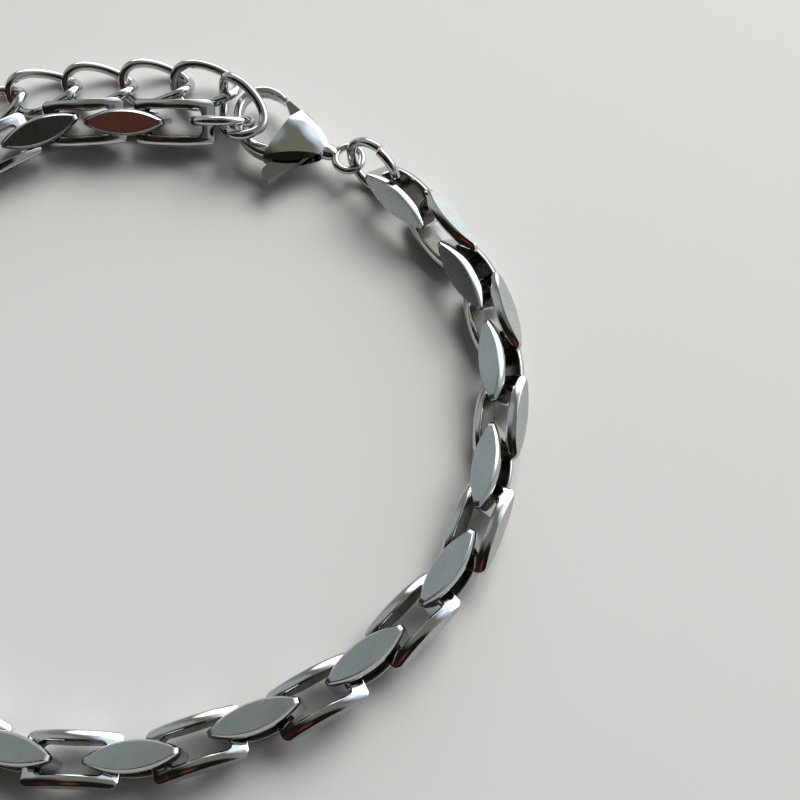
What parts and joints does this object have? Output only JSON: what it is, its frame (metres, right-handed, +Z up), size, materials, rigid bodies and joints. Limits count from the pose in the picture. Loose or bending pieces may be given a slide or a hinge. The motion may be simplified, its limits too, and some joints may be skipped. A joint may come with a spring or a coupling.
{
  "type": "link bracelet",
  "caption": "Steel link bracelet of marquise-faceted links turned a quarter turn each, with jump rings, a lobster clasp and a curb-link extender, lying fastened in a loop.",
  "frame": {"origin": "centre of the underside of the bounding box of the loop with its extender", "axes": "+Z up from the surface that the bracelet lies on, +Y towards the side with the clasp, +X to the right when the clasp is at the far side"},
  "size_m": [0.0644, 0.0656, 0.006],
  "materials": {
    "satin_steel_links": "satin facets brushed across, with mirror-polished bevels and sides",
    "polished_steel": "mirror polished"
  },
  "bodies": {
    "bracelet": {"link_01": "satin_steel_links", "link_02": "satin_steel_links", "link_03": "satin_steel_links", "link_04": "satin_steel_links", "link_05": "satin_steel_links", "link_06": "satin_steel_links", "link_07": "satin_steel_links", "link_08": "satin_steel_links", "link_09": "satin_steel_links", "link_10": "satin_steel_links", "link_11": "satin_steel_links", "link_12": "satin_steel_links", "link_13": "satin_steel_links", "link_14": "satin_steel_links", "link_15": "satin_steel_links", "link_16": "satin_steel_links", "link_17": "satin_steel_links", "link_18": "satin_steel_links", "link_19": "satin_steel_links", "link_20": "satin_steel_links", "link_21": "satin_steel_links", "link_22": "satin_steel_links", "link_23": "satin_steel_links", "link_24": "satin_steel_links", "link_25": "satin_steel_links", "link_26": "satin_steel_links", "link_27": "satin_steel_links", "link_28": "satin_steel_links", "link_29": "satin_steel_links", "link_30": "satin_steel_links", "link_31": "satin_steel_links", "link_32": "satin_steel_links", "link_33": "satin_steel_links", "link_34": "satin_steel_links", "link_35": "satin_steel_links", "link_36": "satin_steel_links", "jump_ring_clasp": "polished_steel", "jump_ring_end": "polished_steel", "extender_first": "polished_steel", "extender_chain": "polished_steel", "clasp_body": "polished_steel", "clasp_pin": "polished_steel"},
    "lever": {"clasp_lever": "polished_steel"}
  },
  "joints": [
    {"name": "clasp_lever_hinge", "type": "hinge", "parent": "bracelet", "child": "lever", "pos_m": [0.01263, 0.02293, 0.00205], "axis": [0, 0, 1], "range_deg": [0, 25], "stiffness_Nm_per_rad": 0.002, "springref_deg": -28.65}
  ]
}
